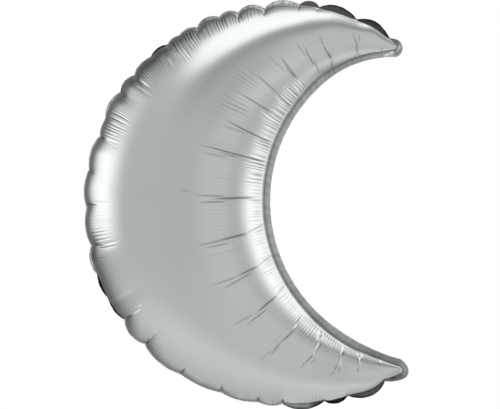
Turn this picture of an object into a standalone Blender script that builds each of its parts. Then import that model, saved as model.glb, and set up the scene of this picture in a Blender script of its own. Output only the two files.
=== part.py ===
"""Crescent moon foil balloon: two domed film panels, their heat-sealed border and a folded filling neck.

Metres, +Z up. The front faces -Y, the horns point to +X, and the origin is the centre of the gas space.
"""

import math

import bmesh
import bpy
from mathutils import Matrix, Vector

# Outline of the gas space: an outer circle less an inner one, which makes the bay between the horns
OUTER_RADIUS = 0.2870
INNER_RADIUS = 0.2345
CENTRE_OFFSET = 0.2005
BAY_TILT = math.radians(0.6)
OUTER_CENTRE = Vector((0.1148, 0.0, 0.0016))
TIP_RADIUS = 0.0045

# The horns hang down a little from the circles, more and more towards their tips
DROOP_START = 0.0650
DROOP_RUN = 0.0900
TOP_DROOP = 0.0118
BOTTOM_DROOP = 0.0062
DROOP_POWER = 1.5

# Section of the gas space
HALF_DEPTH_RATIO = 0.62
CREST_SHIFT = 0.04
WALL = 0.0100
LEAST_RECESS = 0.0010
RIM_GAP = 0.0003

# Heat-sealed border
BORDER_WIDTH = 0.0111
BORDER_THICKNESS = 0.0012
BORDER_ROOT = 0.0050
BORDER_BEND = 0.0011
PUCKER_BRIM = 0.0020
BRIM_POWER = 0.6
ROOT_SHARE = 0.6
BEND_SHARE = 0.55
BEND_LEAN = 0.45
TAB_SHARE = 0.8
LEAN_SHARE = 0.8

# Filling neck, hinged at the border's edge
NECK_ANGLE = math.radians(243.6)
NECK_WIDTH = 0.0300
NECK_LENGTH = 0.0560
NECK_THICKNESS = 0.0035
NECK_MARGIN = 0.0045
NECK_WEB = 0.0010
NECK_LEAN = math.radians(20.0)
NECK_HINGE_GAP = 0.0021
SLEEVE_WIDTH = 0.0190
SLEEVE_LENGTH = 0.0600
SLEEVE_THICKNESS = 0.0009
SLEEVE_START = 0.0020
NECK_EDGE_BEVEL = 0.0004
CHANNEL_OVERRUN = 0.0100

# Fineness of the meshes
ACROSS_STEPS = 10
LOBE_STEP = math.radians(3.2)
BESIDE_PUCKER = math.radians(1.1)
CAP_STEPS = 3
GAS_STATIONS = 40
GAS_END_ANGLE = 6.0
INNER_EDGE_STEPS = 44

# Each row is a pucker of the convex seam and the lobe that follows it, anticlockwise seen from the front:
# the pucker's angle in degrees from +X, how far it draws the seam in (mm), the length of its crease (mm),
# how far the lobe stands out past the outer circle (mm), how much of the border shows past the lobe (mm),
# and which way the border's edge leans there, from 1, to the front, to -1, to the back.
PUCKERS = (
    # angle, pit, crease, bulge, brim, lean
    (59.0, -6.8, 20, 3.6, 8.0, 0.9),
    (68.5, 2.4, 30, 0.0, 7.0, 0.9),
    (79.5, 4.4, 28, 0.0, 6.8, 0.2),
    (85.2, 1.0, 18, 0.0, 6.2, -0.7),
    (95.4, 6.6, 30, 0.0, 4.2, -0.8),
    (103.2, 5.4, 26, 0.0, 3.0, -0.6),
    (108.7, 3.6, 12, 0.0, 4.6, -0.6),
    (115.8, 4.8, 34, 0.0, 3.2, 0.6),
    (125.8, 3.6, 22, 0.0, 5.0, 0.9),
    (131.7, 0.8, 12, 0.0, 6.6, 0.9),
    (138.7, 3.2, 32, 0.0, 5.6, 0.5),
    (145.0, 1.0, 20, 0.0, 7.5, -0.8),
    (153.5, 0.5, 12, 0.0, 2.6, -0.8),
    (159.0, 5.2, 38, 0.0, 6.4, -0.8),
    (169.1, 1.0, 18, 0.0, 4.6, -0.9),
    (180.0, 3.4, 38, 0.0, 3.3, -0.9),
    (191.1, 3.8, 38, 0.0, 7.2, -0.8),
    (199.5, 1.0, 16, 0.0, 6.5, 0.9),
    (206.6, 1.0, 16, 0.0, 4.6, 0.8),
    (214.5, 5.2, 38, 4.6, 1.7, -1.0),
    (223.7, 4.2, 38, 0.0, 5.0, 0.9),
    (237.1, 1.6, 30, 0.0, 1.3, -1.0),
    (250.1, 3.6, 22, 0.8, 1.8, -1.0),
    (261.1, 3.0, 26, 1.4, 1.8, -1.0),
    (268.1, 3.2, 26, 1.2, 6.6, 0.8),
    (280.1, 1.8, 28, 2.2, 7.2, 0.9),
    (287.0, 1.0, 30, 2.0, 8.6, 0.8),
    (298.7, 4.0, 24, 0.0, 8.0, 0.3),
)
LAST_PUCKER = 306.0
BULGE_POWER = 0.7
DENT_PER_PIT = 0.035
LEAST_PIT = 2.0
CREASE_POWER = 1.5
CREASE_SPREAD = 2.2

# Radial creases of the taut seam: the angle in degrees about the inner circle's centre, the crease's length
# (mm) and its depth (mm)
BAY_CREASES = (
    # angle, length, depth
    (114.0, 28, 1.0),
    (123.4, 50, 1.5),
    (136.0, 60, 2.5),
    (144.0, 74, 2.5),
    (151.0, 72, 2.5),
    (158.0, 60, 2.5),
    (166.0, 72, 3.0),
    (178.6, 75, 3.0),
    (190.1, 75, 3.0),
    (201.0, 68, 3.0),
    (212.4, 62, 2.5),
    (223.4, 80, 3.0),
    (232.0, 66, 2.5),
    (241.0, 50, 2.0),
    (246.6, 30, 1.5),
)
BAY_CREASE_HALF_WIDTH = 3.0
BAY_CREASE_RISE = 1.3
DEEPEST_DENT = 0.3

FILM_SILVER = (0.80, 0.81, 0.79, 1.0)
SLEEVE_CLEAR = (0.86, 0.88, 0.90, 1.0)

BACK = Vector((0.0, 1.0, 0.0))


def clear_scene():
    for obj in list(bpy.data.objects):
        bpy.data.objects.remove(obj, do_unlink=True)


def make_collection(name):
    collection = bpy.data.collections.new(name)
    bpy.context.scene.collection.children.link(collection)
    return collection


def make_material(name, colour, roughness, metallic, alpha=1.0):
    material = bpy.data.materials.new(name)
    material.use_nodes = True
    shader = material.node_tree.nodes["Principled BSDF"]
    shader.inputs["Base Color"].default_value = colour
    shader.inputs["Roughness"].default_value = roughness
    shader.inputs["Metallic"].default_value = metallic
    shader.inputs["Alpha"].default_value = alpha
    material.diffuse_color = colour
    return material


def polar(angle):
    return Vector((math.cos(angle), 0.0, math.sin(angle)))


def inner_centre():
    return OUTER_CENTRE + CENTRE_OFFSET * polar(BAY_TILT)


def hang(point):
    """A point of the level outline, moved to where the drooping horns carry it."""
    run = point.x - OUTER_CENTRE.x - DROOP_START
    if run <= 0:
        return point
    droop = TOP_DROOP if point.z > OUTER_CENTRE.z else BOTTOM_DROOP
    return point - Vector((0.0, 0.0, droop * (run / DROOP_RUN) ** DROOP_POWER))


def medial_reach(angle):
    """Distance from the outer centre to the point midway between the two circles."""
    total = OUTER_RADIUS + INNER_RADIUS
    return (total**2 - CENTRE_OFFSET**2) / (2 * (total - CENTRE_OFFSET * math.cos(angle - BAY_TILT)))


def tip_angle():
    """The angle from the bay's axis at which the half width is down to the tip's radius."""
    total = OUTER_RADIUS + INNER_RADIUS
    reach = OUTER_RADIUS - TIP_RADIUS
    return math.acos((total - (total**2 - CENTRE_OFFSET**2) / (2 * reach)) / CENTRE_OFFSET)


def lobe_at(angle):
    """The pucker row on each side of an angle in radians, and how far through the lobe the angle lies."""
    degrees = math.degrees(angle)
    rows = PUCKERS + ((LAST_PUCKER,) + PUCKERS[-1][1:],)
    for this, following in zip(rows, rows[1:]):
        if degrees < following[0]:
            break
    through = (degrees - this[0]) / (following[0] - this[0])
    return this, following, min(max(through, 0.0), 1.0)


def seam_shift(angle):
    """How far the convex seam lies outside the outer circle, negative where a pucker draws it in."""
    this, following, through = lobe_at(angle)
    near = max(0.0, 1 - 2 * through) ** 2 * this[1] + max(0.0, 2 * through - 1) ** 2 * following[1]
    bulge = this[3] * math.sin(math.pi * through) ** BULGE_POWER
    return (bulge - near) / 1000


def border_edge(angle):
    """The border's edge at an angle: how far it shows past the seam, and its lean to the front."""
    this, _, through = lobe_at(angle)
    swell = math.sin(math.pi * through) ** BRIM_POWER
    brim = PUCKER_BRIM + (this[4] / 1000 - PUCKER_BRIM) * swell
    return brim, this[5] * swell * LEAN_SHARE * math.sqrt(BORDER_WIDTH**2 - brim**2)


def pucker_dent(angle, distance):
    """Depth of the outer creases at a distance (m) in from the convex seam, as a share of the local depth."""
    this, following, through = lobe_at(angle)
    span = math.radians(following[0] - this[0])
    dent = 0.0
    for row, away in ((this, through * span), (following, (1 - through) * span)):
        fade = max(0.0, 1 - distance / (row[2] / 1000))
        depth = DENT_PER_PIT * max(LEAST_PIT, row[1])
        dent += depth * fade**CREASE_POWER * max(0.0, 1 - away / (CREASE_SPREAD * BESIDE_PUCKER))
    return dent


def bay_dent(angle, distance):
    """Depth (m) of the radial creases that start at the taut seam, at a distance (m) in from it."""
    dent = 0.0
    for centre, length, depth in BAY_CREASES:
        beside = max(0.0, 1 - abs(math.degrees(angle) - centre) / BAY_CREASE_HALF_WIDTH)
        fade = max(0.0, 1 - distance / (length / 1000))
        dent += depth / 1000 * math.sin(math.pi * min(1.0, BAY_CREASE_RISE * fade)) * beside
    return dent


class Line:
    """One line across the crescent, from the convex seam to the taut one, on the level outline.

    A cap angle over 0 places it on the rounded tip of a horn, where the lines shrink to a point.
    """

    def __init__(self, angle, inset=0.0, puckered=True, cap=0.0):
        self.angle = angle
        self.cap = cap
        reach = medial_reach(angle)
        self.disc = OUTER_CENTRE + reach * polar(angle)
        to_disc = self.disc - inner_centre()
        self.bay_angle = math.atan2(to_disc.z, to_disc.x) % (2 * math.pi)
        out, into_bay = polar(angle), -polar(self.bay_angle)
        radius = OUTER_RADIUS - reach - inset
        shift = seam_shift(angle) if puckered else 0.0
        self.half = radius * math.cos(cap)
        self.middle = self.disc
        if cap:
            top = 1 if self.disc.z > OUTER_CENTRE.z else -1
            into_bay = (into_bay - out).normalized()
            out = -into_bay
            self.middle = self.disc + radius * math.sin(cap) * top * Vector((-into_bay.z, 0.0, into_bay.x))
        self.outer = self.middle + out * (self.half + shift * math.cos(cap))
        self.inner = self.middle + into_bay * self.half

    def point(self, share):
        """A point of the line, from 0 at the convex seam to 1 at the taut seam."""
        rest = 1 - share
        return hang(rest**2 * self.outer + 2 * rest * share * self.middle + share**2 * self.inner)


def puckered_angles(start, end):
    """Angles of the lines across, close together beside each pucker."""
    bounds = [start] + [math.radians(row[0]) for row in PUCKERS] + [end]
    angles = [start]
    for low, high in zip(bounds, bounds[1:]):
        low_inner, high_inner = low + BESIDE_PUCKER, high - BESIDE_PUCKER
        if high_inner > low_inner:
            steps = max(1, round((high_inner - low_inner) / LOBE_STEP))
            angles += [low_inner + (high_inner - low_inner) * i / steps for i in range(steps + 1)]
        angles.append(high)
    return angles


def lines_across(inset=0.0, puckered=True):
    """All lines across, from the tip of the top horn round to the tip of the bottom one."""
    short = math.radians(GAS_END_ANGLE) if inset else 0.0
    start = BAY_TILT + tip_angle() + short
    end = 2 * math.pi + BAY_TILT - tip_angle() - short
    if puckered:
        angles = puckered_angles(start, end)
    else:
        angles = [start + (end - start) * i / GAS_STATIONS for i in range(GAS_STATIONS + 1)]
    caps = [math.pi / 2 * i / CAP_STEPS for i in range(1, CAP_STEPS + 1)]
    top = [Line(start, inset, puckered, cap) for cap in reversed(caps)]
    bottom = [Line(end, inset, puckered, cap) for cap in caps]
    return top + [Line(angle, inset, puckered) for angle in angles] + bottom


def new_object(name, mesh, collection, material=None):
    obj = bpy.data.objects.new(name, mesh)
    collection.objects.link(obj)
    if material:
        mesh.materials.append(material)
    return obj


def grid_mesh(name, rows, columns, place):
    """A grid of rows by columns of points, each where place(row, column) puts it, sewn where points meet."""
    mesh = bmesh.new()
    bmesh.ops.create_grid(mesh, x_segments=rows - 1, y_segments=columns - 1, size=1.0)
    ordered = sorted(mesh.verts, key=lambda vert: (round(vert.co.x, 6), round(vert.co.y, 6)))
    for index, vert in enumerate(ordered):
        vert.co = place(*divmod(index, columns))
    bmesh.ops.remove_doubles(mesh, verts=mesh.verts, dist=1e-6)
    bmesh.ops.recalc_face_normals(mesh, faces=mesh.faces)
    data = bpy.data.meshes.new(name)
    mesh.to_mesh(data)
    mesh.free()
    return data


def lofted(name, lines, section, collection, material=None):
    """A closed skin over the lines: over each line a ring of points, and at both ends a point."""
    ring = ACROSS_STEPS + 1

    def place(row, column):
        return section(lines[row], column % ring)

    return new_object(name, grid_mesh(name, len(lines), ring + 1, place), collection, material)


def dome_height(line, across, inset=0.0):
    """Height of the dome over the rim's plane, across the line from -1 to 1."""
    crown = HALF_DEPTH_RATIO * (line.half + inset) - inset
    return max(0.0, crown) * math.sqrt(max(0.0, 1 - abs(across) ** 3))


def across_at(column):
    """Where a column of the dome lies: from -1 to 1 across, and as a share of the line."""
    across = -math.cos(math.pi * column / ACROSS_STEPS)
    return across, (1 + across) / 2 + CREST_SHIFT * (1 - across**2)


def panel_section(side):
    """Ring of points of a creased panel: over the dome, then straight back in the rim's plane."""

    def section(line, column):
        across, share = across_at(column)
        height = dome_height(line, across)
        if not line.cap:
            width = 2 * line.half
            height *= 1 - pucker_dent(line.angle, share * width)
            height -= min(DEEPEST_DENT * height, bay_dent(line.bay_angle, (1 - share) * width))
        return line.point(share) + BACK * side * (BORDER_THICKNESS / 2 + RIM_GAP + height)

    return section


def gas_section(side):
    """Ring of points of the gas space under a panel, which reaches a little past the rim's plane."""

    def section(line, column):
        across, share = across_at(column)
        height = max(LEAST_RECESS, dome_height(line, across, WALL))
        if column in (0, ACROSS_STEPS):
            height = -WALL / 2
        return line.point(share) + BACK * side * (BORDER_THICKNESS / 2 + RIM_GAP + height)

    return section


def make_panel(name, side, collection, cutters, material):
    """A film panel: the domed outer form, cut open by the gas space under it."""
    panel = lofted(name, lines_across(), panel_section(side), collection, material)
    gas = lofted("gas_space_" + name, lines_across(WALL, puckered=False), gas_section(side), cutters)
    gas.hide_render = True
    gas.display_type = "WIRE"
    cut = panel.modifiers.new("gas space", "BOOLEAN")
    cut.operation = "DIFFERENCE"
    cut.solver = "EXACT"
    cut.object = gas
    panel.data.shade_smooth()
    panel.data.set_sharp_from_angle(angle=math.radians(40))
    return panel


def border_course():
    """The border's course round the whole rim: (seam point, outward direction, width, lean), in order."""
    tab = BORDER_WIDTH * TAB_SHARE
    lines = lines_across()
    course = []
    for line in lines:
        out = (line.outer - line.disc).normalized()
        brim, lean = border_edge(line.angle)
        course.append((line.outer, out, tab if line.cap else brim, 0.0 if line.cap else lean))
    bottom_caps = lines[-CAP_STEPS:-1][::-1]
    top_caps = lines[1:CAP_STEPS][::-1]
    for line in bottom_caps:
        course.append((line.inner, (line.inner - line.disc).normalized(), tab, 0.0))
    first, last = lines[CAP_STEPS].bay_angle, lines[-1 - CAP_STEPS].bay_angle
    for step in range(INNER_EDGE_STEPS + 1):
        out = -polar(last + (first - last) * step / INNER_EDGE_STEPS)
        course.append((inner_centre() - INNER_RADIUS * out, out, BORDER_WIDTH, 0.0))
    for line in top_caps:
        course.append((line.inner, (line.inner - line.disc).normalized(), tab, 0.0))
    return course


def make_border(collection, material):
    """The sealed border: a strip round the whole rim, its root held between the two panels."""
    course = border_course()
    root = min(BORDER_ROOT, ROOT_SHARE * TIP_RADIUS)

    def strip(place, column):
        seam, out, brim, lean = course[place % len(course)]
        outward = (-root, BORDER_BEND, BEND_SHARE * (brim + BORDER_BEND), brim)[column]
        forward = (0.0, 0.0, BEND_LEAN * lean, lean)[column]
        return hang(seam + out * outward) - BACK * forward

    border = new_object("seal_border", grid_mesh("seal_border", len(course) + 1, 4, strip), collection, material)
    film = border.modifiers.new("film", "SOLIDIFY")
    film.thickness = BORDER_THICKNESS
    film.offset = 0.0
    return border


def neck_frame():
    """Matrix of the neck folded up: X along it from the hinge, Y across its thickness, Z across its width."""
    brim, lean = border_edge(NECK_ANGLE)
    reach = OUTER_RADIUS + seam_shift(NECK_ANGLE) + brim + NECK_HINGE_GAP
    hinge = OUTER_CENTRE + reach * polar(NECK_ANGLE) - BACK * lean
    out = polar(NECK_ANGLE)
    along = math.cos(NECK_LEAN) * BACK - math.sin(NECK_LEAN) * out
    width = Vector((math.sin(NECK_ANGLE), 0.0, -math.cos(NECK_ANGLE)))
    thick = width.cross(along)
    frame = Matrix((along, thick, width)).transposed().to_4x4()
    return Matrix.Translation(hinge) @ frame


def box_mesh(name, low, high):
    """A box between two corners, from a unit cube."""
    mesh = bmesh.new()
    bmesh.ops.create_cube(mesh, size=1.0)
    low, high = Vector(low), Vector(high)
    for vert in mesh.verts:
        vert.co = (low + high) / 2 + Vector(a * b for a, b in zip(vert.co, high - low))
    data = bpy.data.meshes.new(name)
    mesh.to_mesh(data)
    mesh.free()
    return data


def make_neck(collection, cutters, film_material, sleeve_material):
    """The filling neck: two films sealed along their side margins, and the valve's sleeve between them."""
    hinge = bpy.data.objects.new("neck_hinge", None)
    collection.objects.link(hinge)
    hinge.matrix_world = neck_frame()
    half_width, half_thick = NECK_WIDTH / 2, NECK_THICKNESS / 2
    seam = RIM_GAP / 2
    channel = half_width - NECK_MARGIN
    for name, side in (("neck_front_film", 1), ("neck_back_film", -1)):
        faces = sorted((side * seam, side * half_thick))
        film = new_object(
            name,
            box_mesh(name, (0.0, faces[0], -half_width), (NECK_LENGTH, faces[1], half_width)),
            collection,
            film_material,
        )
        film.parent = hinge
        depth = half_thick - NECK_WEB
        hollow = new_object(
            "channel_" + name,
            box_mesh(
                "channel_" + name,
                (-CHANNEL_OVERRUN, -depth, -channel),
                (NECK_LENGTH + CHANNEL_OVERRUN, depth, channel),
            ),
            cutters,
        )
        hollow.parent = hinge
        hollow.hide_render = True
        hollow.display_type = "WIRE"
        cut = film.modifiers.new("channel", "BOOLEAN")
        cut.operation = "DIFFERENCE"
        cut.solver = "EXACT"
        cut.object = hollow
        soften = film.modifiers.new("soft edges", "BEVEL")
        soften.width = NECK_EDGE_BEVEL
        soften.segments = 1
        soften.limit_method = "ANGLE"
    sleeve = new_object(
        "valve_sleeve",
        box_mesh(
            "valve_sleeve",
            (SLEEVE_START, -SLEEVE_THICKNESS / 2, -SLEEVE_WIDTH / 2),
            (SLEEVE_LENGTH, SLEEVE_THICKNESS / 2, SLEEVE_WIDTH / 2),
        ),
        collection,
        sleeve_material,
    )
    sleeve.parent = hinge


def main():
    clear_scene()
    parts = make_collection("crescent_moon_foil_balloon")
    cutters = make_collection("cutters")
    film = make_material("silver_film", FILM_SILVER, 0.28, 1.0)
    sealed = make_material("sealed_film", FILM_SILVER, 0.36, 1.0)
    clear = make_material("clear_sleeve", SLEEVE_CLEAR, 0.15, 0.0, 0.5)
    make_panel("front_panel", -1, parts, cutters, film)
    make_panel("back_panel", 1, parts, cutters, film)
    make_border(parts, sealed)
    make_neck(parts, cutters, sealed, clear)
    bpy.context.view_layer.update()


main()
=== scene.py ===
"""Looks of a crescent moon foil balloon: creased satin film, its gathered seal border and the folded neck.

Metres, +Z up, the front faces -Y and the horns point to +X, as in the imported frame.
"""

import math
from math import radians

import bmesh
import bpy
import numpy as np
from mathutils import Matrix, Vector
from numpy.linalg import norm


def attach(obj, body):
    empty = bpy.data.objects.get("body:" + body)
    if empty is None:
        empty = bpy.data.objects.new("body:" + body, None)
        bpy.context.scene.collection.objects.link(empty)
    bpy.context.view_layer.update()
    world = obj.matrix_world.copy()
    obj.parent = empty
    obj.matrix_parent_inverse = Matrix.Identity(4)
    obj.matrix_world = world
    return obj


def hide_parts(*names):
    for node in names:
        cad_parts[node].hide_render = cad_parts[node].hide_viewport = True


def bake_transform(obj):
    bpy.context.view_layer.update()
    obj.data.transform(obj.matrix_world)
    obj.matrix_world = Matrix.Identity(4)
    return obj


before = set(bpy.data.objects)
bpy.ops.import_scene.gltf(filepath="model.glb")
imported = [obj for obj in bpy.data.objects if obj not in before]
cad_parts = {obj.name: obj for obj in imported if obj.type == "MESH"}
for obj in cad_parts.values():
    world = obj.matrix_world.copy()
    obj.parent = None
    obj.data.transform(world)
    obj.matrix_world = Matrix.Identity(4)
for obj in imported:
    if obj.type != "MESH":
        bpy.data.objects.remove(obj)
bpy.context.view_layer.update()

MM = 0.001

# Outline and section of the balloon, the driving dimensions of the part
OUTER_RADIUS = 0.2870
INNER_RADIUS = 0.2345
CENTRE_OFFSET = 0.2005
BAY_TILT = radians(0.6)
OUTER_CENTRE = np.array((0.1148, 0.0016))
TOP_TIP_RADIUS = 0.0028
BOTTOM_TIP_RADIUS = 0.0052
DROOP_START = 0.0650
DROOP_RUN = 0.0900
DROOP_POWER = 1.5
TOP_DROOP = 0.0118
BOTTOM_DROOP = 0.0062
HALF_DEPTH_RATIO = 0.62
HORN_FLATTER = 0.13
HORN_FLATTENS = (0.060, 0.015)
HORN_SMOOTH = (0.004, 0.030)
CREST_SHIFT = 0.04

# Film and sealed border
RIM_GAP = 0.00035
SEAL_THICKNESS = 0.0005
SEAL_ROOT = 0.0020
RIM_RIPPLE = 0.0019
RIM_RIPPLE_MM = 0.12
BAY_SEAM_OUT = 0.0020
HORN_SEAM_OUT = 0.0032
LOW_HORN_OVERLAP = 0.6
BORDER_WIDTH = 0.0111
BORDER_BEND = 0.0011
PUCKER_BRIM = 0.0020
SHALLOW_BRIM_SHARE = 0.25
FULL_PIT = 3
BRIM_POWER = 0.75
BULGE_POWER = 0.7
BULGE_NARROWING = 1.3
UNPUCKERED_NARROWING = 0.9
SWELL_POWER = 0.6
BULGE_REACH = 0.0600
BULGE_SMOOTH = 0.0160
PIT_REACH = 0.0240
FOLDS_FROM_SEAM = 0.002
TAB_SHARE = 0.8
LEAN_SHARE = 0.8
# Painted shade of the border: how light its tabs and its bay side are painted, painted light on the bay's
# belly, painted shade at the lower horn, and painted shade at its root, its free edge and its seam line
TAB_PAINTED_SHADE = 0.66
BAY_PAINTED_SHADE = 0.78
BELLY_PAINTED_LIGHT = 0.2
LOW_HORN_PAINTED_SHADE = 0.3
ROOT_PAINTED_SHADE = 0.16
RIM_PAINTED_SHADE = 0.30
SEAM_LINE_PAINTED_SHADE = 0.24

# Neck, hinged at the border's edge
NECK_ANGLE = radians(243.6)
NECK_WIDTH = 0.0300
NECK_LENGTH = 0.0560
NECK_THICKNESS = 0.0035
NECK_MARGIN = 0.0045
NECK_START = 0.0060
NECK_PUFFED = 0.016
NECK_CLEAR = 0.0006
NECK_FLAT = 0.00022
NECK_LEAN = radians(20.0)
NECK_HINGE_GAP = 0.0021
FOLD_WIDTH = 0.0260
FOLD_OVERLAP = 0.0015
SLEEVE_WIDTH = 0.0190
SLEEVE_LENGTH = 0.0600
SLEEVE_START = 0.0080
FILM_THICKNESS = 0.0002
SLEEVE_THICKNESS = 0.00012

# Fineness of the meshes
STATIONS = 1900
CAP_STATIONS = 14
FILM_COLUMNS = 50
BORDER_STATIONS = 1500
BORDER_COLUMNS = 15
NECK_ROWS = 90
NECK_COLUMNS = 48
SEWN_WITHIN = 2e-6

# Each row is a pucker of the convex seam and the lobe after it, anticlockwise seen from the front: angle in
# degrees, how far it draws the seam in, its crease's length, the lobe's bulge, how much of the border shows
# past it (all mm), the border's lean from 1 (front) to -1 (back), the crease's depth (mm), its slant from the
# radial line (degrees), how wide the crease forks at its inner end (mm) and how light the border after it is
# painted (painted shade and painted reflection).
PUCKERS = (
    (52.5, -1, 8, 1.5, 8.4, 0, 0, 0, 0, 0.45),
    (58.3, -2.6, 8, 4.2, 6.6, 0.9, 0, 0, 0, 0.17),
    (68.5, 0.8, 8, 0, 7.2, 0.9, 0, 0, 0, 0.23),
    (79.5, 2, 9, 0, 6.8, 0.2, 0, 0, 0, 0.26),
    (85.2, 1, 8, 0, 6.2, -0.7, 0.1, 0, 0, 0.9),
    (95.4, 6.6, 18, 0, 4.2, -0.8, 1.4, 0, 2.4, 0.9),
    (103.2, 5.4, 20, 0, 3, -0.6, 1.4, 0, 2.8, 0.7),
    (108.7, 3.6, 9, 0, 4.6, -0.6, 0.3, 0, 0, 0.7),
    (115.8, 4.8, 22, 0.6, 1.8, 0.1, 1, 10, 2.4, 0.9),
    (121.4, 1.2, 8, 0, 1.5, 0.1, 0.1, 0, 0, 0.9),
    (125.8, 3.6, 14, 1, 1.8, 0.5, 0.7, 8, 0, 0.38),
    (131.7, 0.8, 8, 1.4, 2, -0.3, 0.2, 8, 0, 0.7),
    (138.7, 3.2, 12, 2, 2.2, 0.2, 0.6, 8, 0, 0.7),
    (145, 1, 10, 2.6, 3.4, -0.8, 0.4, 0, 0, 1),
    (153.5, 0.5, 8, -0.4, 1, -0.8, 0.1, 0, 0, 0.9),
    (159, 4.6, 12, 1.8, 2.2, -0.8, 0.5, 10, 0, 1),
    (169.1, 1, 9, 2.4, 1.8, -0.9, 0.3, 12, 0, 0.8),
    (180, 3, 12, 1.6, 1.6, -0.9, 0.5, 2, 0, 0.8),
    (191.1, 3.4, 12, 1.4, 3.6, -0.8, 0.5, 3, 0, 1),
    (199.5, 0, 9, 0.2, 2.8, 0.6, 0, 0, 0, 0.24),
    (206.6, 0, 9, 0.2, 1.6, 0.6, 0, 0, 0, 0.6),
    (214.5, 4.6, 14, 3, 1.8, -1, 0.7, 0, 0, 0.95),
    (223.7, 3.8, 12, 2.2, 1.8, -0.6, 0.6, -4, 0, 1),
    (237.1, 1.6, 14, 0, 1.3, -1, 0.8, -10, 0, 0.85),
    (250.1, 3.6, 11, 0.9, 1, -1, 1, -20, 0, 0.9),
    (261.1, 3, 9, 1.6, 1, -1, 0.8, -9, 0, 0.9),
    (268.1, 3.2, 9, 1.2, 6.2, 0.8, 0.6, -2, 0, 0.16),
    (280.1, 1.4, 8, 3.4, 3.3, 0.9, 0.1, 0, 0, 0.26),
    (287, 1, 8, 3.6, 6.7, 0.8, 0.1, 0, 0, 0.26),
    (298.7, 3.4, 8, 0, 8, 0.3, 0, 0, 0, 0.35),
)
# Columns of a row; the last is how light the border is painted, its painted shade and reflection
PIT, BULGE, BRIM, LEAN, DEPTH, PAINTED_BORDER_LIGHT = 1, 3, 4, 5, 6, 9
LAST_PUCKER = 310.0

# Creases that run in from the two seams: angle about the seam's own centre (degrees) and distance in from the
# seam (mm), of the near end and of the far end, then the fold's width (mm) and depth (hundredths of a mm) and
# how dark the shade painted along it is (percent), negative for a painted highlight along it.
SEAM_CREASES = (
    (79.5, 1, 80.2, 8, 1, 30, 40), (85.2, 1, 85.6, 12, 1.2, 30, 45),
    (127.3, 6, 128.3, 24, 0.8, 20, 25), (128, 20, 128.4, 30, 1.2, 60, -22),
    (128.3, 14, 128.3, 38, 0.8, 20, -15), (129.5, 12, 131.4, 43, 0.8, 15, -15),
    (137.9, 2, 139, 11, 1.4, 40, 50), (139.3, 11, 140.1, 28, 1.6, 30, 32),
    (139, 13, 138.7, 34, 1.1, 80, -22), (140.7, 16, 141.2, 28, 1, 60, -22),
    (140.6, 25, 140.8, 41, 1, 70, -20), (140.3, 28, 140.4, 38, 0.7, 10, 28),
    (144.7, 0, 144.6, 13, 2, 40, 20), (159.2, 4, 159.6, 14, 1.4, 40, 50),
    (159.6, 14, 159.3, 30, 1.1, 50, -22), (159.9, 9, 160.2, 28, 0.9, 30, -22),
    (160.2, 28, 161, 40, 0.8, 30, -22), (159.6, 27, 160.7, 41, 0.8, 10, 28),
    (168.9, 0, 170.3, 12, 1.2, 40, 35), (179.1, 2, 179.3, 21, 1.2, 40, 50),
    (179.3, 21, 179.6, 30, 1, 30, -22), (178.7, 17, 179, 40, 1, 30, -20),
    (178.2, 14, 178.4, 36, 0.8, 10, 20), (191, 6, 191.8, 24, 1.3, 40, 50),
    (191.6, 24, 191.2, 42, 1.1, 60, -22), (192.4, 15, 192.8, 38, 1.2, 80, -24),
    (214.4, 1, 214.5, 21, 2, 60, 42), (214.6, 20, 214.5, 37, 1.1, 90, -26),
    (213.4, 30, 213.7, 42, 1.2, 90, -26), (214, 20, 214, 34, 0.8, 10, 25),
    (212.5, 34, 213, 46, 0.7, 10, -12), (224, 2, 223.4, 16, 1.4, 50, 48),
    (224.2, 12, 223.7, 29, 2, 40, 20), (223.4, 16, 223.2, 30, 0.8, 10, -10),
    (237, 1, 237.3, 14, 1.8, 60, 32), (250, 2, 249.3, 15, 1.4, 50, 50),
    (261, 1, 260.5, 10, 1.3, 40, 50), (268, 0, 267.9, 10, 1.3, 40, 50),
)
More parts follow.
